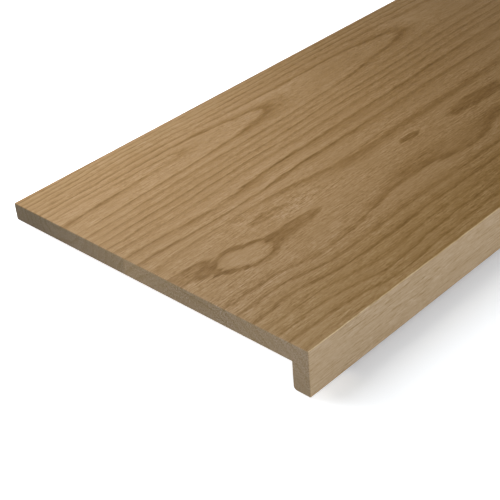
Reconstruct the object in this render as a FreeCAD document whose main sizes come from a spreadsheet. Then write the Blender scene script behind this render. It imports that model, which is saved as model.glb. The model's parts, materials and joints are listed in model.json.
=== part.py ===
import FreeCAD, Part
import os
import Sketcher

# Stair tread: an oak board whose front edge turns down into a nosing lip, sawn and planed as one piece.
# It is laid over an existing step: the underside rests on the step and the lip hangs in front of it.
# X runs along the length, -Y is the nosing front, +Y the back edge, +Z is up. Sizes are in millimetres.
# Put down on a floor, the tread leans back until its back edge touches, and it is kept in that position.

# Each driving dimension: its name, its size and what it measures
DIMENSIONS = (
    ("tread_length", "1000", "length along the nosing"),
    ("tread_depth", "300", "nosing front to back edge"),
    ("board_thickness", "15", "top to underside"),
    ("nosing_height", "38", "top to the lip's foot"),
    ("lip_thickness", "15", "nosing front to the lip's inner face"),
    ("heel_radius", "3", "rounding of the lip's inner lower edge"),
    ("arris_radius", "1", "easing of all other outer edges"),
)

# The section's sides in order around the L, each named as the side that starts at that corner
LIP_FOOT, LIP_INNER, UNDERSIDE, BACK, TOP, FRONT = range(6)
START, END = 1, 2
SKETCH_ORIGIN, HORIZONTAL_AXIS = -1, -1
LEAN_AXIS = FreeCAD.Vector(-1, 0, 0)
NEAR = 1e-4


def make_sheet(doc):
    """The driving dimensions, one row each, with the name as the cell's alias."""
    sheet = doc.addObject("Spreadsheet::Sheet", "dimensions")
    for row, (alias, size, meaning) in enumerate(DIMENSIONS, start=1):
        sheet.set(f"A{row}", meaning)
        sheet.set(f"B{row}", size)
        sheet.setAlias(f"B{row}", alias)
    doc.recompute()
    return sheet


def section_corners(sheet):
    """The L's corners in the section's plane, from the lip's front foot round to the top front edge."""
    front = -sheet.tread_depth / 2
    back = sheet.tread_depth / 2
    lip_inner = front + sheet.lip_thickness
    underside = sheet.nosing_height - sheet.board_thickness
    return [
        FreeCAD.Vector(front, 0),
        FreeCAD.Vector(lip_inner, 0),
        FreeCAD.Vector(lip_inner, underside),
        FreeCAD.Vector(back, underside),
        FreeCAD.Vector(back, sheet.nosing_height),
        FreeCAD.Vector(front, sheet.nosing_height),
    ]


def draw_section(body, sheet):
    """The L-shaped section across the tread, centred on its depth, with the lip's foot at height zero."""
    sketch = body.newObject("Sketcher::SketchObject", "section")
    section_plane = next(item for item in body.Origin.OriginFeatures if item.Role == "YZ_Plane")
    sketch.AttachmentSupport = [(section_plane, "")]
    sketch.MapMode = "FlatFace"

    corners = section_corners(sheet)
    for start, end in zip(corners, corners[1:] + corners[:1]):
        sketch.addGeometry(Part.LineSegment(start, end))
    for side in range(len(corners)):
        following = (side + 1) % len(corners)
        sketch.addConstraint(Sketcher.Constraint("Coincident", side, END, following, START))
    for side in (LIP_FOOT, UNDERSIDE, TOP):
        sketch.addConstraint(Sketcher.Constraint("Horizontal", side))
    for side in (LIP_INNER, BACK, FRONT):
        sketch.addConstraint(Sketcher.Constraint("Vertical", side))
    sketch.addConstraint(Sketcher.Constraint("PointOnObject", LIP_FOOT, START, HORIZONTAL_AXIS))

    def drive(name, kind, first, last, formula):
        """A named distance between two ends of the section's sides, bound to the sheet."""
        distance = abs(getattr(corner_of(*last) - corner_of(*first), kind[-1].lower()))
        index = sketch.addConstraint(Sketcher.Constraint(kind, *first, *last, distance))
        sketch.renameConstraint(index, name)
        sketch.setExpression(f"Constraints.{name}", formula)

    def corner_of(side, end):
        """Where an end of a side lies before the section is solved."""
        if side == SKETCH_ORIGIN:
            return FreeCAD.Vector()
        return corners[(side + end - START) % len(corners)]

    drive("half_depth", "DistanceX", (SKETCH_ORIGIN, START), (TOP, START), "dimensions.tread_depth / 2")
    drive("depth", "DistanceX", (TOP, END), (TOP, START), "dimensions.tread_depth")
    drive("height", "DistanceY", (FRONT, END), (FRONT, START), "dimensions.nosing_height")
    drive("thickness", "DistanceY", (BACK, START), (BACK, END), "dimensions.board_thickness")
    drive("lip", "DistanceX", (LIP_FOOT, START), (LIP_FOOT, END), "dimensions.lip_thickness")
    return sketch


def edges_where(shape, is_wanted):
    """The names of a shape's edges whose midpoints pass a test."""
    return [f"Edge{number}" for number, edge in enumerate(shape.Edges, start=1) if is_wanted(edge.CenterOfMass)]


def make_tread(doc, sheet):
    """The section drawn out along the tread's length, with its heel rounded and its arrises eased."""
    body = doc.addObject("PartDesign::Body", "stair_tread")
    body.Label = "stair_tread"
    corners = section_corners(sheet)

    def is_long_edge(*wanted):
        """A test for the middle of a lengthwise edge through one of the wanted corners of the section."""
        middles = [FreeCAD.Vector(0, corners[corner].x, corners[corner].y) for corner in wanted]
        return lambda point: any(point.isEqual(middle, NEAR) for middle in middles)

    def is_end_edge(point):
        return abs(abs(point.x) - sheet.tread_length / 2) < NEAR

    board = body.newObject("PartDesign::Pad", "board")
    board.Profile = draw_section(body, sheet)
    board.SideType = "Symmetric"
    board.setExpression("Length", "dimensions.tread_length")
    doc.recompute()

    heel = body.newObject("PartDesign::Fillet", "lip_heel")
    heel.Base = (board, edges_where(board.Shape, is_long_edge(LIP_INNER)))
    heel.setExpression("Radius", "dimensions.heel_radius")
    doc.recompute()

    is_long_arris = is_long_edge(LIP_FOOT, BACK, TOP, FRONT)
    arrises = body.newObject("PartDesign::Fillet", "eased_arrises")
    arrises.Base = (heel, edges_where(heel.Shape, lambda point: is_long_arris(point) or is_end_edge(point)))
    arrises.setExpression("Radius", "dimensions.arris_radius")
    doc.recompute()
    return body


def lay_down(doc, body):
    """Lean the tread back on its heel and its back edge, with the middle of its base box at the origin."""
    body.addProperty("App::PropertyFloat", "BaseRun", "Rest", "depth from the heel's centre to the back arris's")
    body.addProperty("App::PropertyFloat", "BaseRise", "Rest", "height from the heel's centre to the back arris's")
    body.addProperty("App::PropertyFloat", "HeelReach", "Rest", "depth from the tread's middle to the heel's centre")
    body.addProperty("App::PropertyAngle", "Lean", "Rest", "angle between the top and the floor")
    sheet = "dimensions"
    body.setExpression(
        "HeelReach", f"{sheet}.tread_depth / 2 - {sheet}.lip_thickness + {sheet}.heel_radius"
    )
    body.setExpression("BaseRun", f"HeelReach + {sheet}.tread_depth / 2 - {sheet}.arris_radius")
    body.setExpression(
        "BaseRise",
        f"{sheet}.nosing_height - {sheet}.board_thickness + {sheet}.arris_radius - {sheet}.heel_radius",
    )
    body.setExpression(
        "Lean",
        "atan2(BaseRise; BaseRun)"
        f" + asin(({sheet}.heel_radius - {sheet}.arris_radius) / hypot(BaseRun; BaseRise))",
    )
    doc.recompute()

    body.Placement = FreeCAD.Placement(FreeCAD.Vector(), FreeCAD.Rotation(LEAN_AXIS, body.Lean.Value))
    body.setExpression("Placement.Rotation.Angle", "Lean")
    body.setExpression("Placement.Base.y", f"-{sheet}.nosing_height / 2 * sin(Lean)")
    body.setExpression(
        "Placement.Base.z", f"{sheet}.heel_radius * (1 - cos(Lean)) - HeelReach * sin(Lean)"
    )
    doc.recompute()


def check(doc, body):
    """Stop before anything is written if a feature failed or the tread isn't one valid solid."""
    for item in doc.Objects:
        if "Invalid" in item.State or "Error" in item.State:
            raise RuntimeError(f"{item.Name} failed: {item.State}")
    if body.Shape.isNull() or not body.Shape.isValid() or len(body.Shape.Solids) != 1:
        raise RuntimeError(f"{body.Label} isn't one valid solid")


doc = FreeCAD.newDocument("stair_tread")
sheet = make_sheet(doc)
tread = make_tread(doc, sheet)
lay_down(doc, tread)
check(doc, tread)
os.makedirs("parts", exist_ok=True)
tread.Shape.exportStep(f"parts/{tread.Label}.step")
print(tread.Label, "leans", tread.Lean, "and fills", tread.Shape.optimalBoundingBox())
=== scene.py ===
import json
import math

import bmesh
import bpy
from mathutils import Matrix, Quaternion, Vector

# Stair tread: one oak board with a nosing lip, lying on a pale floor. The CAD solid is shown as it is.
# This script gives it its wood, and sets up the floor, the light and the camera.
# Places in the scene are in metres. Places and sizes in the grain are in millimetres.

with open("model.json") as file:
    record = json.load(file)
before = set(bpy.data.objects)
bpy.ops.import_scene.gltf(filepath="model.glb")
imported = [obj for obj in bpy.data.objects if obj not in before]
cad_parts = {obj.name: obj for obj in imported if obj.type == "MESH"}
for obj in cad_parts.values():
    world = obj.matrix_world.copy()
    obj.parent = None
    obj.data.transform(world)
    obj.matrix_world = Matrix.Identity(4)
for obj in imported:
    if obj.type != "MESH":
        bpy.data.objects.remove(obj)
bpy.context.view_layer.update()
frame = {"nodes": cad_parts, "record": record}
tread = frame["nodes"]["stair_tread"]
mounts = {mount["name"]: mount for mount in frame["record"]["mounts"]}

MM_PER_METRE = 1000.0
WHITE = (1.0, 1.0, 1.0, 1.0)

# The camera: where it stands, the point on the top that it looks at, its lens and its slight roll
CAMERA_PLACE = (-0.9451, -0.5203, 0.5515)
CAMERA_AIM = (-0.4375, -0.0401, 0.0302)
CAMERA_ROLL = math.radians(0.86)
SENSOR = 36.0
LENS = 88.6

# The floor
FLOOR_HALF = 6.0
FLOOR_WHITE = (0.845, 0.88, 0.92, 1.0)

# The studio's white on the floor: how strong it is at distances from the lip's foot.
# It is faint close to the lip, where the tread's shadow lies, and full a hand away; this dip is painted
# shadow.
GLOW_LINE_WITH_PAINTED_SHADOW = ((0.004, 0.25), (0.018, 0.385), (0.036, 0.445), (0.050, 0.48), (0.098, 0.90))
# Where the lip's foot lies across the floor, and how far it counts along the floor to each side
GLOW_LIP = -0.148
GLOW_HALF_LENGTH = 0.455
# Distances past the tread's ends and behind its lip count this many times, so the white grows quickly
# there and paints out the tread's real shade
GLOW_PAST_END = 1.7
GLOW_BEHIND = 3.0
# A little more white far from the tread, where the lamps reach less
GLOW_FAR = 0.10
GLOW_FAR_START, GLOW_FAR_REACH = 0.5, 3.0
# Close to the lip the white is cool, because the oak throws warm light there
GLOW_CLOSE_COLOUR = (0.96, 1.0, 1.07, 1.0)
GLOW_COLOUR_START, GLOW_COLOUR_REACH = 0.008, 0.028

# The light of the room, and how it looks in the lacquer: white at the horizon, dim at the ceiling
ROOM_LIGHT = 0.05
CEILING = 0.12
CEILING_START, CEILING_FULL = 0.0, 0.20

# The soft lamps: place, aim, size, power, spread of the beam, and whether the lacquer mirrors them
LAMPS = {
    "near_softbox": ((-0.50, 0.24, 0.41), (-0.46, -0.02, 0.02), 0.45, 2.8, 180, True),
    "back_softbox": ((-0.05, 0.52, 0.42), (-0.10, 0.12, 0.02), 0.40, 1.5, 180, False),
    "far_softbox": ((0.80, 0.10, 0.65), (0.62, 0.0, 0.02), 0.40, 1.6, 70, True),
    "nosing_fill": ((0.40, -1.90, 0.15), (-0.10, -0.15, 0.02), 0.9, 42.0, 180, True),
    "end_fill": ((-1.35, -0.45, 0.25), (-0.50, -0.05, 0.02), 0.5, 3.9, 180, True),
}

# The oak's colours as they look on a screen, from 0 to 255
OAK_TOP = (156, 126, 86)
# The paler, greyer back of the top is painted sheen
OAK_TOP_BACK_PAINTED_SHEEN = (158, 129, 91)
OAK_TOP_FRONT = (156, 126, 83)
# The nosing's pale, grey colour is its own wood and painted sheen
OAK_NOSING_AND_PAINTED_SHEEN = (162, 140, 110)
# The eased front edge's pale colour is a painted highlight
OAK_ARRIS_PAINTED_HIGHLIGHT = (190, 166, 128)
OAK_END_FRONT = (143, 124, 98)
# The end grain's darker back is partly painted shade
OAK_END_BACK_WITH_PAINTED_SHADE = (104, 91, 73)

# Where the top's colours change, from the back edge: from back to middle, and from middle to front. The
# paler, greyer back colour is painted sheen.
PAINTED_SHEEN_BACK_TO_TOP = (0, 110)
TOP_TO_FRONT = (225, 270)

# How the end grain goes from its back colour to its front colour, with a step, from the back edge. Its
# darkening towards the back is partly painted shade.
END_TONE_AND_PAINTED_SHADE = ((25, 0.0), (125, 0.68), (127, 1.0), (175, 0.83), (230, 0.86), (250, 1.0))

# How far a face looks to a side where that side's look starts, and where it is full.
# The arris is the eased front edge, which looks both forward and up; its pale colour is a painted
# highlight.
NOSING_FACING = (-0.5, -0.9)
END_FACING = (0.5, 0.9)
ARRIS_FORWARD = (-0.25, -0.45)
ARRIS_UP = (0.30, 0.50)

# Darker wood is also deeper in colour: how much faster green and blue fall than red
GREEN_FALL = 1.30
BLUE_FALL = 2.20

# How much the dark rings, the pores and the nosing's hair lines deepen the colour
RING_DEPTH = 0.34
PORE_DEPTH = 0.16
HAIR_LINE_DEPTH = 0.22

# What the nosing and the end grain lose of the rings, the fine fibres and the coarse tone
NOSING_RING_LOSS = 0.92
END_RING_LOSS = 0.72
NOSING_FIBRE_LOSS = 0.28
NOSING_TONE_LOSS = 0.80

# The lacquer, duller in the pores and missing on the end grain, and the relief of the pores
LACQUER_ROUGHNESS = 0.42
PORE_ROUGHNESS = 0.14
END_ROUGHNESS = 0.85
LACQUER_GLOSS = 0.24
RELIEF_STRENGTH = 0.25
RELIEF_HEIGHT = 0.0002

# How dark each year's ring is, counted from the heart
RING_VIGOUR = (0.75, 1.0, 0.90, 0.65, 0.85, 0.75, 0.70, 0.98, 0.90, 0.80, 1.0, 0.8)

# How dark the wood is from one year's line to the next
RING_PROFILE = (
    (0.0, 0.92),
    (0.07, 1.05),
    (0.18, 0.54),
    (0.38, 0.24),
    (0.66, 0.06),
    (0.82, 0.0),
    (0.93, 0.15),
    (1.0, 0.92),
)

# Streaks along the grain: length, width and seed
FIBRES = {
    "along_wander": (38, 4.0, 12.0),
    "slow_wander": (110, 30, 1.0),
    "quick_wander": (16, 5.0, 13.0),
    "long_fray": (45, 3.0, 2.0),
    "short_fray": (10, 1.2, 3.0),
    "long_fading": (130, 9, 4.0),
    "short_fading": (20, 5, 14.0),
    "clearness": (60, 22, 11.0),
    "grain": (3.4, 1.2, 9.0),
    "flecks": (13, 1.2, 5.0),
    "wide_flecks": (17, 2.6, 10.0),
    "streaks": (70, 1.6, 6.0),
    "broad_tone": (240, 55, 7.0),
    "pores": (7, 0.8, 8.0),
    "hair_lines": (26, 0.9, 15.0),
}
FIBRE_MEASURES = ("Length", "Width", "Seed")
FIBRE_DETAIL = 2.0
FIBRE_ROUGHNESS = 0.55

# How far the streaks swing: the wanders in millimetres, the frays in rings, the others in depth of colour
SWINGS = {
    "along_wander": 14.0,
    "slow_wander": 6.0,
    "quick_wander": 3.0,
    "long_fray": 0.30,
    "short_fray": 0.16,
    "grain": 0.60,
    "flecks": 0.95,
    "wide_flecks": 0.22,
    "streaks": 0.18,
    "broad_tone": 0.18,
    "layers": 0.14,
}

# Thin layers beside the rings
LAYERS_PER_RING = 4.5
LAYER_DETAIL = 1.0

# Streak levels between which the rings fade and the fibres grow clear, and the strength at each
LONG_FADING = (0.30, 0.60, 0.70, 1.05)
SHORT_FADING = (0.35, 0.65, 0.84, 1.14)
CLEARNESS = (0.35, 0.65, 0.55, 1.3)

# Places across between which the rings calm down and the fibres grow clear, and the strength at each
BACK_VIGOUR = (20, 50, 1.1, 1.0)
BACK_CLEARNESS = (110, 190, 0.66, 1.0)

# Streak levels at which pores and hair lines start and are full.
# In the dark rings the pores start earlier, by their lead.
PORE_START, PORE_FULL = 0.56, 0.72
PORE_LEAD = 0.06
HAIR_LINES = (0.52, 0.66)

# The grain's figure. Every place is along the tread from its near end and across it from its back edge.

# How far the heart of the tree lies above the top, at places along the tread
HEART_LINE = (
    (0, 5.2),
    (100, 5.8),
    (132, 8.0),
    (175, 12.3),
    (200, 15.2),
    (228, 17.0),
    (262, 20.0),
    (333, 21.0),
    (383, 23.8),
    (420, 26.0),
    (455, 29.0),
    (530, 30.5),
    (600, 35.0),
    (1000, 61.0),
)

# The back half's arches: where their middle line lies across, and how it shifts between two places along.
# On each side of it, distances count by a slope that grows with the distance.
CROWN_ACROSS = 57.5
CROWN_SHIFTS = ((0, 120, -3.5), (180, 430, -4.5))
BACK_SLOPE, BACK_SLOPE_GROWTH = 0.7, 0.012
FRONT_SLOPE, FRONT_SLOPE_GROWTH = 0.88, 0.0035
# The radius where the rings start to count, and how far apart they are
FIRST_RING = 8.0
ARCH_SPACING = 9.0

# The front half's crest: where it lies across, how it slants, half its flat width,
# and how round its shoulders are
CREST_ACROSS = 194.0
CREST_SLANT = -0.012
CREST_HALF = 47.0
CREST_SHOULDER = 20.0
# How far apart its rings are, which ring is on top, and how many more come with each millimetre below
CREST_SPACING = 9.5
CREST_RINGS = 9.44
RINGS_BELOW = 0.09

# Where the back half's rings change to the front half's, across
FRONT_HALF = (98, 134)

# Each soft oval: centre along, centre across, half length, half width, what it adds, flat share.
# The arch shift adds millimetres, and the swellings, figures and hearts add rings.
# The ring patches change how dark the rings are, the tone patches make the wood paler or deeper, one of
# them with painted light, and the fibre patches make the fibres clearer.
OVAL_PLACES = ("Along", "Across")
OVAL_MEASURES = ("Centre Along", "Centre Across", "Half Length", "Half Width", "Amount", "Flat Share")
OVAL_REACH = 1.25

ARCH_SHIFT = {"first_arch": (60, 54, 125, 14, 7.0, 0.35)}

RING_PATCHES = {
    "quiet_over_the_eye": (50, 158, 85, 12, -0.25, 0.3),
    "bold_round_the_eye": (52, 193, 62, 22, 0.22, 0.4),
    "bold_first_band": (25, 57, 55, 8, 0.45, 0.3),
    "bold_middle_line": (100, 133, 190, 14, 0.26, 0.5),
    "bold_second_arch_tip": (418, 50, 40, 16, 0.22, 0.4),
    "bold_hump_line": (230, 224, 150, 14, 0.25, 0.3),
    "bold_front_lines": (60, 282, 170, 16, 0.12, 0.4),
    "soft_tail_and_lens": (114, 184, 46, 30, -0.25, 0.5),
    "soft_near_tail": (10, 182, 32, 16, -0.25, 0.4),
}

TONE_PATCHES = {
    "eye_heart": (55, 195, 19, 11, 0.09, 0.5),
    "beside_the_lens": (124, 178, 28, 14, 0.05, 0.2),
    # Painted light: the near front corner is paler where more light falls
    "painted_light_near_front_corner": (0, 285, 110, 60, 0.08, 0.2),
    "front_strip": (330, 270, 190, 40, -0.08, 0.4),
    "near_back_corner": (0, 0, 60, 40, -0.04, 0.2),
    "deeper_towards_the_middle": (430, 150, 260, 260, -0.11, 0.2),
    "past_the_first_arch": (255, 44, 62, 20, 0.09, 0.3),
    "past_the_second_arch": (439, 45, 38, 20, 0.11, 0.3),
    "over_the_spindles": (270, 168, 110, 22, 0.05, 0.3),
    "front_shade": (150, 262, 190, 36, -0.07, 0.3),
    "between_the_arms": (280, 95, 130, 30, 0.04, 0.3),
    "near_middle": (5, 135, 45, 40, -0.03, 0.2),
    "beside_the_middle_line": (150, 134, 75, 22, 0.06, 0.3),
}

FIBRE_PATCHES = {
    "clear_beside_the_lens": (122, 176, 26, 12, 0.9, 0.3),
    "clear_below_the_near_tail": (26, 222, 38, 24, 0.7, 0.3),
}

BACK_SWELLINGS = {
    "sag_of_the_outer_lines": (90, 112, 60, 14, -0.35, 0.1),
    "wide_arm": (275, 74, 90, 13, -0.35, 0.1),
    "far_sag": (760, 128, 95, 18, -0.50, 0.1),
    "far_wide_arm": (640, 84, 90, 15, -0.40, 0.1),
}

CREST_SWELLINGS = {
    "near_hump": (70, 193, 125, 44, 0.50, 0.75),
    "mesa": (480, 188, 330, 20, 0.30, 0.8),
    "sag_before_the_crest": (96, 136, 72, 17, -0.42, 0.1),
    "hump_towards_nosing": (283, 222, 42, 20, 0.31, 0.2),
    "low_side_of_the_hump": (210, 214, 44, 16, 0.05, 0.3),
    "low_start_of_the_hump": (114, 233, 34, 14, 0.14, 0.3),
    "near_dip": (15, 264, 75, 46, -0.60, 0.3),
    "near_notch": (46, 236, 30, 20, -0.25, 0.1),
    "nosing_sag": (112, 285, 40, 30, 0.35, 0.1),
    "far_hump": (700, 186, 110, 42, 0.50, 0.6),
    "far_nosing_sag": (820, 270, 80, 36, 0.45, 0.1),
}

# Dark figures on the crest. Where two of them meet, the stronger one counts.
CREST_FIGURES = {
    "eye_upper_rim": (47, 191.5, 24, 14.5, 0.35, 0.85),
    "eye_lower_rim": (62, 198, 23, 14.5, 0.35, 0.85),
    "eye_near_tail": (-8, 178, 60, 10, 0.47, 0.5),
    "eye_near_shade": (22, 185, 24, 13, 0.36, 0.2),
    "eye_far_root": (80, 198, 22, 12.5, 0.35, 0.5),
    "eye_far_tail": (100, 197, 44, 9, 0.37, 0.5),
    "lens": (104, 169, 34, 8, 0.54, 0.3),
    "small_spindle": (262, 183, 26, 7, 0.58, 0.3),
    "large_spindle": (350, 186, 72, 17, 0.54, 0.35),
    "far_spindle": (540, 184, 48, 9, 0.58, 0.4),
    "far_eye_rim": (655, 190, 40, 16, 0.34, 0.85),
    "far_streak": (765, 188, 46, 7, 0.36, 0.4),
    "last_spindle": (905, 180, 70, 11, 0.90, 0.4),
}

# The pale hearts inside the eyes. Where two of them meet, the stronger one counts.
CREST_HEARTS = {
    "eye_upper_heart": (48, 191.5, 14, 8.8, 0.62, 0.7),
    "eye_lower_heart": (61, 197, 15.5, 9.2, 0.62, 0.7),
    "far_eye": (655, 190, 28, 10, 0.60, 0.6),
}

FLOAT = "NodeSocketFloat"
VECTOR = "NodeSocketVector"


def srgb(levels):
    """A screen colour as the linear colour that a shader takes."""
    def linear(level):
        share = level / 255
        return share / 12.92 if share <= 0.04045 else ((share + 0.055) / 1.055) ** 2.4
    return (*map(linear, levels), 1.0)


# Helpers for node trees

def add_node(tree, kind, values=None, **settings):
    """A new node with its settings, and each input linked to a socket or set to a value."""
    node = tree.nodes.new(kind)
    for name, setting in settings.items():
        setattr(node, name, setting)
    for key, value in (values or {}).items():
        if isinstance(value, bpy.types.NodeSocket):
            tree.links.new(value, node.inputs[key])
        else:
            node.inputs[key].default_value = value
    return node


def maths(tree, operation, *terms):
    """One arithmetic step on sockets or numbers."""
    return add_node(tree, "ShaderNodeMath", dict(enumerate(terms)), operation=operation).outputs[0]


def total(tree, terms, join="ADD"):
    """Several sockets or numbers added up, or joined another way."""
    result = terms[0]
    for term in terms[1:]:
        result = maths(tree, join, result, term)
    return result


def length(tree, run, span):
    """The straight distance that a run and a span at right angles to it make."""
    offset = add_node(tree, "ShaderNodeCombineXYZ", {"X": run, "Y": span}).outputs[0]
    return add_node(tree, "ShaderNodeVectorMath", {0: offset}, operation="LENGTH").outputs["Value"]


def rise(tree, value, start, end, low=0.0, high=1.0, kind="SMOOTHSTEP"):
    """A smooth rise from low to high while a value goes from start to end."""
    node = add_node(
        tree,
        "ShaderNodeMapRange",
        {"Value": value, "From Min": start, "From Max": end, "To Min": low, "To Max": high},
        interpolation_type=kind,
    )
    return node.outputs["Result"]


def polyline(tree, value, corners):
    """A value drawn through corners by straight runs."""
    heights = [corners[0][1]]
    for (start, low), (end, high) in zip(corners, corners[1:]):
        heights.append(rise(tree, value, start, end, 0.0, high - low, "LINEAR"))
    return total(tree, heights)


def ramp(tree, value, stops, kind="LINEAR"):
    """A grey ramp through (position, level) stops."""
    node = add_node(tree, "ShaderNodeValToRGB", {"Fac": value})
    node.color_ramp.interpolation = kind
    elements = node.color_ramp.elements
    while len(elements) < len(stops):
        elements.new(1.0)
    for element, (position, level) in zip(elements, stops):
        element.position = position
        element.color = (level, level, level, 1.0)
    return node.outputs["Color"]


def mix_colour(tree, amount, base, over, how="MIX"):
    """One colour laid over another by an amount."""
    values = {"Factor": amount, "A": base, "B": over}
    return add_node(tree, "ShaderNodeMix", values, data_type="RGBA", blend_type=how).outputs["Result"]


def new_group(name, inputs, outputs):
    """An empty shader node group with named sockets, and the sockets of its input and output nodes."""
    group = bpy.data.node_groups.new(name, "ShaderNodeTree")
    for label, kind in inputs.items():
        group.interface.new_socket(label, in_out="INPUT", socket_type=kind)
    for label, kind in outputs.items():
        group.interface.new_socket(label, in_out="OUTPUT", socket_type=kind)
    entry = group.nodes.new("NodeGroupInput")
    leave = group.nodes.new("NodeGroupOutput")
    return group, entry.outputs, leave.inputs


def new_material(name):
    """A material and its empty node tree."""
    material = bpy.data.materials.new(name)
    material.use_nodes = True
    material.node_tree.nodes.clear()
    return material, material.node_tree


# The oak

def make_oval_group():
    """A soft oval rise, flat in its middle."""
    inputs = {name: FLOAT for name in OVAL_PLACES + OVAL_MEASURES}
    group, given, result = new_group("soft_oval", inputs, {"Level": FLOAT})
    run = maths(group, "SUBTRACT", given["Along"], given["Centre Along"])
    run = maths(group, "DIVIDE", run, given["Half Length"])
    span = maths(group, "SUBTRACT", given["Across"], given["Centre Across"])
    span = maths(group, "DIVIDE", span, given["Half Width"])
    distance = length(group, run, span)
    level = rise(group, distance, OVAL_REACH, given["Flat Share"], 0.0, given["Amount"])
    group.links.new(level, result["Level"])
    return group


def ovals(tree, oval_group, along, across, table, join="ADD"):
    """A table's soft ovals at a place, added up or joined another way."""
    levels = []
    for name, measures in table.items():
        values = {"Along": along, "Across": across, **dict(zip(OVAL_MEASURES, measures))}
        node = add_node(tree, "ShaderNodeGroup", values, node_tree=oval_group, label=name)
        levels.append(node.outputs["Level"])
    return total(tree, levels, join)


def make_fibre_group():
    """Noise drawn out along the grain: streaks of a given length and width."""
    inputs = {"Board": VECTOR, **{name: FLOAT for name in FIBRE_MEASURES}}
    group, given, result = new_group("wood_fibre", inputs, {"Streak": FLOAT})
    sides = {"X": given["Length"], "Y": given["Width"], "Z": given["Width"]}
    stretch = add_node(group, "ShaderNodeCombineXYZ", sides).outputs[0]
    places = {0: given["Board"], 1: stretch}
    scaled = add_node(group, "ShaderNodeVectorMath", places, operation="DIVIDE").outputs[0]
    noise = add_node(
        group,
        "ShaderNodeTexNoise",
        {
            "Vector": scaled,
            "W": given["Seed"],
            "Scale": 1.0,
            "Detail": FIBRE_DETAIL,
            "Roughness": FIBRE_ROUGHNESS,
        },
        noise_dimensions="4D",
    )
    group.links.new(noise.outputs["Fac"], result["Streak"])
    return group


def make_rings_group(oval_group):
    """How many growth rings lie between the heart of the tree and a point of the board."""
    inputs = {"Board": VECTOR, "Along Wander": FLOAT, "Across Wander": FLOAT}
    group, given, result = new_group("growth_rings", inputs, {"Rings": FLOAT})
    along, across, below = add_node(group, "ShaderNodeSeparateXYZ", {"Vector": given["Board"]}).outputs
    along = maths(group, "ADD", along, given["Along Wander"])
    across = maths(group, "ADD", across, given["Across Wander"])

    def figure(table, join="ADD"):
        """A table's soft ovals at this place of the board."""
        return ovals(group, oval_group, along, across, table, join)

    # The back half: pointed arches round a line that runs along the board, over a heart that slants away
    shifts = [rise(group, along, start, end, 0.0, shift) for start, end, shift in CROWN_SHIFTS]
    crown_line = total(group, [CROWN_ACROSS, *shifts])
    heart_above = maths(group, "ADD", polyline(group, along, HEART_LINE), below)
    offset = maths(group, "SUBTRACT", across, crown_line)
    offset = maths(group, "ADD", offset, figure(ARCH_SHIFT))
    towards_front = maths(group, "MAXIMUM", offset, 0.0)
    towards_back = maths(group, "MAXIMUM", maths(group, "MULTIPLY", offset, -1.0), 0.0)
    back_slope = maths(group, "MULTIPLY_ADD", towards_back, BACK_SLOPE_GROWTH, BACK_SLOPE)
    front_slope = maths(group, "MULTIPLY_ADD", towards_front, FRONT_SLOPE_GROWTH, FRONT_SLOPE)
    back_reach = maths(group, "MULTIPLY", towards_back, back_slope)
    reach = maths(group, "MULTIPLY_ADD", towards_front, front_slope, back_reach)
    radius = length(group, reach, heart_above)
    back = maths(group, "DIVIDE", maths(group, "SUBTRACT", radius, FIRST_RING), ARCH_SPACING)
    back = maths(group, "ADD", back, figure(BACK_SWELLINGS))

    # The front half: a flat crest along the board, from which the rings fall away on both sides
    crest_line = maths(group, "MULTIPLY_ADD", along, CREST_SLANT, CREST_ACROSS)
    away = maths(group, "ABSOLUTE", maths(group, "SUBTRACT", across, crest_line))
    past_crest = maths(group, "SUBTRACT", away, CREST_HALF)
    rounded = maths(group, "MULTIPLY_ADD", past_crest, past_crest, CREST_SHOULDER ** 2)
    rounded = maths(group, "SQRT", rounded)
    fall = maths(group, "DIVIDE", maths(group, "ADD", past_crest, rounded), 2 * CREST_SPACING)
    crest = maths(group, "MULTIPLY_ADD", below, RINGS_BELOW, CREST_RINGS)
    front = maths(group, "SUBTRACT", crest, fall)
    figures = figure(CREST_FIGURES, "MAXIMUM")
    hearts = figure(CREST_HEARTS, "MAXIMUM")
    front = total(group, [front, figure(CREST_SWELLINGS), figures, hearts])

    halves = {"Factor": rise(group, across, *FRONT_HALF), "A": back, "B": front}
    rings = add_node(group, "ShaderNodeMix", halves, data_type="FLOAT").outputs["Result"]
    group.links.new(rings, result["Rings"])
    return group


def board_place(tree, place):
    """A place turned to the board's own: millimetres along, from the back edge and below the top."""
    level = Vector(mounts["underside"]["axis"]) * -1
    depthwise = Vector(mounts["back_edge"]["axis"])
    corners = [vertex.co for vertex in tread.data.vertices]
    near_end = min(corner.x for corner in corners) * MM_PER_METRE
    back_edge = max(corner.dot(depthwise) for corner in corners) * MM_PER_METRE
    top = max(corner.dot(level) for corner in corners) * MM_PER_METRE
    lean = math.atan2(level.y, level.z)
    node = add_node(
        tree,
        "ShaderNodeMapping",
        {
            "Vector": place,
            "Location": (-near_end, back_edge, top),
            "Rotation": (lean, 0.0, 0.0),
            "Scale": (MM_PER_METRE, -MM_PER_METRE, -MM_PER_METRE),
        },
    )
    return node.outputs[0]


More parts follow.
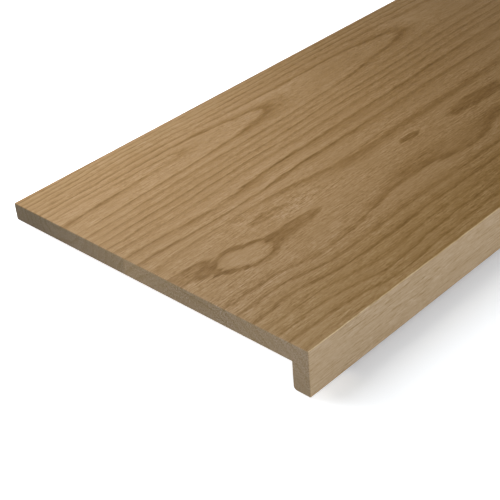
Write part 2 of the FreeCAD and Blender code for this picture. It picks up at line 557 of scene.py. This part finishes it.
def make_oak():
    """Flat-sawn oak under a thin satin lacquer. Its rings, pores and fibres run through the board."""
    fibre_group = make_fibre_group()
    oval_group = make_oval_group()
    rings_group = make_rings_group(oval_group)

    material, tree = new_material("satin_oak")
    place = add_node(tree, "ShaderNodeTexCoord").outputs
    board = board_place(tree, place["Object"])
    along, across, _ = add_node(tree, "ShaderNodeSeparateXYZ", {"Vector": board}).outputs

    def fibre(name):
        """The streaks of one kind."""
        values = {"Board": board, **dict(zip(FIBRE_MEASURES, FIBRES[name]))}
        return add_node(tree, "ShaderNodeGroup", values, node_tree=fibre_group).outputs["Streak"]

    def swing(name, noise):
        """Noise that swings evenly about zero, by half of its amount either way."""
        amount = SWINGS[name]
        return maths(tree, "MULTIPLY_ADD", noise, amount, -amount / 2)

    def fibre_swing(name):
        """The streaks of one kind, as they swing about zero."""
        return swing(name, fibre(name))

    def less(value, loss):
        """One, less a share of a value."""
        return maths(tree, "MULTIPLY_ADD", value, -loss, 1.0)

    def patches(table):
        """A table's soft ovals at this place of the board."""
        return ovals(tree, oval_group, along, across, table)

    # The nosing front, the end grain and the eased front edge with its painted highlight, told by the way
    # a face looks
    facing = add_node(tree, "ShaderNodeSeparateXYZ", {"Vector": place["Normal"]}).outputs
    nosing = rise(tree, facing["Y"], *NOSING_FACING)
    end_grain = rise(tree, maths(tree, "ABSOLUTE", facing["X"]), *END_FACING)
    looks_forward = rise(tree, facing["Y"], *ARRIS_FORWARD)
    looks_up = rise(tree, facing["Z"], *ARRIS_UP)
    arris_highlight = maths(tree, "MULTIPLY", looks_forward, looks_up)

    # Growth rings, with a wander and a frayed edge to their lines
    wander = {
        "Board": board,
        "Along Wander": fibre_swing("along_wander"),
        "Across Wander": maths(tree, "ADD", fibre_swing("slow_wander"), fibre_swing("quick_wander")),
    }
    rings = add_node(tree, "ShaderNodeGroup", wander, node_tree=rings_group).outputs["Rings"]
    count = total(tree, [rings, fibre_swing("long_fray"), fibre_swing("short_fray")])
    profile = ramp(tree, maths(tree, "FRACT", count), RING_PROFILE)
    years = len(RING_VIGOUR)
    middle_of_year = maths(tree, "ADD", maths(tree, "FLOOR", count), 0.5)
    vigour = ramp(
        tree,
        maths(tree, "DIVIDE", middle_of_year, years),
        [(number / years, level) for number, level in enumerate(RING_VIGOUR)],
        "CONSTANT",
    )
    vigour = maths(tree, "ADD", vigour, patches(RING_PATCHES))
    vigour = maths(tree, "MULTIPLY", vigour, rise(tree, across, *BACK_VIGOUR))
    long_fading = rise(tree, fibre("long_fading"), *LONG_FADING)
    short_fading = rise(tree, fibre("short_fading"), *SHORT_FADING)
    band = total(tree, [profile, vigour, long_fading, short_fading], "MULTIPLY")

    # Fine fibres, clearer in some patches than in others and towards the front
    clearness = rise(tree, fibre("clearness"), *CLEARNESS)
    clearness = maths(tree, "ADD", clearness, patches(FIBRE_PATCHES))
    clearness = maths(tree, "MULTIPLY", clearness, rise(tree, across, *BACK_CLEARNESS))
    clearness = maths(tree, "MULTIPLY", clearness, less(nosing, NOSING_FIBRE_LOSS))
    fine = maths(tree, "ADD", fibre_swing("grain"), fibre_swing("flecks"))
    fine = maths(tree, "MULTIPLY", fine, clearness)

    # Coarse tone: wide flecks, long streaks, broad shades, thin layers beside the rings, and patches
    streaks = fibre("streaks")
    layers = add_node(
        tree,
        "ShaderNodeTexNoise",
        {"W": rings, "Scale": LAYERS_PER_RING, "Detail": LAYER_DETAIL},
        noise_dimensions="1D",
    ).outputs["Fac"]
    tones = [
        fibre_swing("wide_flecks"),
        swing("streaks", streaks),
        fibre_swing("broad_tone"),
        swing("layers", layers),
        patches(TONE_PATCHES),
    ]
    coarse = maths(tree, "MULTIPLY", total(tree, tones), less(nosing, NOSING_TONE_LOSS))

    # Pores, more of them in the dark rings
    pore_start = maths(tree, "MULTIPLY_ADD", band, -PORE_LEAD, PORE_START)
    pores = rise(tree, fibre("pores"), pore_start, PORE_FULL)

    # The nosing is sawn across the rings, and shows them as fine dark lines along it
    hair_lines = rise(tree, fibre("hair_lines"), *HAIR_LINES)
    hair_lines = maths(tree, "MULTIPLY", hair_lines, nosing)

    # Depth of colour: the rings show less on the nosing front and on the end grain
    ring_share = maths(tree, "MULTIPLY_ADD", end_grain, -END_RING_LOSS, less(nosing, NOSING_RING_LOSS))
    ring_depth = less(maths(tree, "MULTIPLY", band, ring_share), RING_DEPTH)
    pore_depth = less(pores, PORE_DEPTH)
    fibre_depth = total(tree, [less(hair_lines, HAIR_LINE_DEPTH), fine, coarse])
    depth = total(tree, [ring_depth, pore_depth, fibre_depth], "MULTIPLY")
    shade = add_node(
        tree,
        "ShaderNodeCombineColor",
        {
            "Red": depth,
            "Green": maths(tree, "POWER", depth, GREEN_FALL),
            "Blue": maths(tree, "POWER", depth, BLUE_FALL),
        },
    ).outputs[0]

    # Colour: each side's base, with painted sheen on the back of the top and partly on the nosing,
    # painted shade towards the back of the end grain and a painted highlight on the eased front edge,
    # then deepened
    # The end grain darkens towards its back, partly with painted shade
    end_tone_and_shade = polyline(tree, across, END_TONE_AND_PAINTED_SHADE)
    end_colour = mix_colour(tree, end_tone_and_shade, srgb(OAK_END_BACK_WITH_PAINTED_SHADE), srgb(OAK_END_FRONT))
    # Painted sheen: the back of the top is paler and greyer
    colour = mix_colour(tree, rise(tree, across, *PAINTED_SHEEN_BACK_TO_TOP), srgb(OAK_TOP_BACK_PAINTED_SHEEN), srgb(OAK_TOP))
    colour = mix_colour(tree, rise(tree, across, *TOP_TO_FRONT), colour, srgb(OAK_TOP_FRONT))
    # The nosing's own wood, with painted sheen in its paler, greyer colour
    colour = mix_colour(tree, nosing, colour, srgb(OAK_NOSING_AND_PAINTED_SHEEN))
    # A painted highlight along the eased front edge
    colour = mix_colour(tree, arris_highlight, colour, srgb(OAK_ARRIS_PAINTED_HIGHLIGHT))
    colour = mix_colour(tree, end_grain, colour, end_colour)
    colour = mix_colour(tree, 1.0, colour, shade, "MULTIPLY")

    # Lacquer, and the relief of the open pores under it
    roughness = maths(tree, "MULTIPLY_ADD", pores, PORE_ROUGHNESS, LACQUER_ROUGHNESS)
    roughness = rise(tree, end_grain, 0.0, 1.0, roughness, END_ROUGHNESS, "LINEAR")
    relief = {
        "Strength": RELIEF_STRENGTH,
        "Distance": RELIEF_HEIGHT,
        "Height": maths(tree, "SUBTRACT", streaks, pores),
    }
    surface = add_node(
        tree,
        "ShaderNodeBsdfPrincipled",
        {
            "Base Color": colour,
            "Roughness": roughness,
            "Specular IOR Level": LACQUER_GLOSS,
            "Normal": add_node(tree, "ShaderNodeBump", relief).outputs[0],
        },
    )
    add_node(tree, "ShaderNodeOutputMaterial", {"Surface": surface.outputs[0]})
    return material


# The floor, the room, the lamps and the camera

def sees_studio(tree):
    """One for the rays that show the background: the camera's, and those of reflections and of glass."""
    path = add_node(tree, "ShaderNodeLightPath").outputs
    rays = [path[name] for name in ("Is Camera Ray", "Is Glossy Ray", "Is Transmission Ray")]
    return maths(tree, "MINIMUM", total(tree, rays), 1.0)


def make_floor():
    """A pale floor that keeps the tread's shadow and is white around it. Its white is dimmer by the lip,
    which paints the shadow there darker, and it paints out the shade past the ends and behind the lip.
    """
    sheet = bmesh.new()
    bmesh.ops.create_grid(sheet, x_segments=1, y_segments=1, size=FLOOR_HALF)
    mesh = bpy.data.meshes.new("floor")
    sheet.to_mesh(mesh)
    sheet.free()
    floor = bpy.data.objects.new("floor", mesh)
    bpy.context.scene.collection.objects.link(floor)

    material, tree = new_material("white_floor")
    place = add_node(tree, "ShaderNodeTexCoord").outputs["Object"]
    along, across, _ = add_node(tree, "ShaderNodeSeparateXYZ", {"Vector": place}).outputs
    past_end = maths(tree, "SUBTRACT", maths(tree, "ABSOLUTE", along), GLOW_HALF_LENGTH)
    past_end = maths(tree, "MULTIPLY", past_end, GLOW_PAST_END)
    before_lip = maths(tree, "SUBTRACT", GLOW_LIP, across)
    behind_lip = maths(tree, "MULTIPLY", before_lip, -GLOW_BEHIND)
    past_lip = maths(tree, "MAXIMUM", before_lip, behind_lip)
    past = length(tree, maths(tree, "MAXIMUM", past_end, 0.0), past_lip)
    # Painted shadow: the white is faint by the lip and grows quickly past the ends and behind the lip,
    # where it paints out the tread's real shade
    near_white_with_painted_shadow = polyline(tree, past, GLOW_LINE_WITH_PAINTED_SHADOW)
    far_white = rise(tree, past, GLOW_FAR_START, GLOW_FAR_REACH, 0.0, GLOW_FAR)
    white = maths(tree, "ADD", near_white_with_painted_shadow, far_white)
    strength = maths(tree, "MULTIPLY", sees_studio(tree), white)
    away = rise(tree, past, GLOW_COLOUR_START, GLOW_COLOUR_REACH)
    colour = mix_colour(tree, away, GLOW_CLOSE_COLOUR, WHITE)
    glow = add_node(tree, "ShaderNodeEmission", {"Color": colour, "Strength": strength})
    matt = add_node(tree, "ShaderNodeBsdfDiffuse", {"Color": FLOOR_WHITE})
    both = add_node(tree, "ShaderNodeAddShader", {0: matt.outputs[0], 1: glow.outputs[0]})
    add_node(tree, "ShaderNodeOutputMaterial", {"Surface": both.outputs[0]})
    floor.data.materials.append(material)


def make_room():
    """A room that is white to the camera, softer as light, and has a dim ceiling in the lacquer."""
    world = bpy.data.worlds.new("white_room")
    world.use_nodes = True
    tree = world.node_tree
    tree.nodes.clear()
    way = add_node(tree, "ShaderNodeTexCoord").outputs["Generated"]
    height = add_node(tree, "ShaderNodeSeparateXYZ", {"Vector": way}).outputs["Z"]
    path = add_node(tree, "ShaderNodeLightPath").outputs
    mirrored = rise(tree, height, CEILING_START, CEILING_FULL, 1.0, CEILING)
    strength = rise(tree, path["Is Glossy Ray"], 0.0, 1.0, ROOM_LIGHT, mirrored, "LINEAR")
    seen = maths(tree, "MAXIMUM", path["Is Camera Ray"], path["Is Transmission Ray"])
    strength = rise(tree, seen, 0.0, 1.0, strength, 1.0, "LINEAR")
    background = add_node(tree, "ShaderNodeBackground", {"Color": WHITE, "Strength": strength})
    add_node(tree, "ShaderNodeOutputWorld", {"Surface": background.outputs[0]})
    bpy.context.scene.world = world


def set_up(item, place, aim, roll=0.0):
    """Put a lamp or the camera into the scene at a place, turned to its aim."""
    level = (Vector(aim) - Vector(place)).to_track_quat("-Z", "Y")
    item.location = place
    item.rotation_mode = "QUATERNION"
    item.rotation_quaternion = level @ Quaternion((0.0, 0.0, 1.0), -roll)
    bpy.context.scene.collection.objects.link(item)


def make_lamps():
    """The square soft lamps, each turned to its part of the tread."""
    for name, (place, aim, size, power, spread, mirrored) in LAMPS.items():
        light = bpy.data.lights.new(name, "AREA")
        light.shape = "SQUARE"
        light.size = size
        light.energy = power
        light.spread = math.radians(spread)
        lamp = bpy.data.objects.new(name, light)
        lamp.visible_glossy = mirrored
        set_up(lamp, place, aim)


def make_camera():
    """The camera at the photograph's viewing angle."""
    lens = bpy.data.cameras.new("camera")
    lens.sensor_width = SENSOR
    lens.lens = LENS
    camera = bpy.data.objects.new("camera", lens)
    set_up(camera, CAMERA_PLACE, CAMERA_AIM, CAMERA_ROLL)
    bpy.context.scene.camera = camera


make_camera()
make_floor()
make_room()
make_lamps()
oak = make_oak()
for slot in tread.material_slots:
    slot.material = oak
bpy.context.scene.view_settings.view_transform = "Standard"
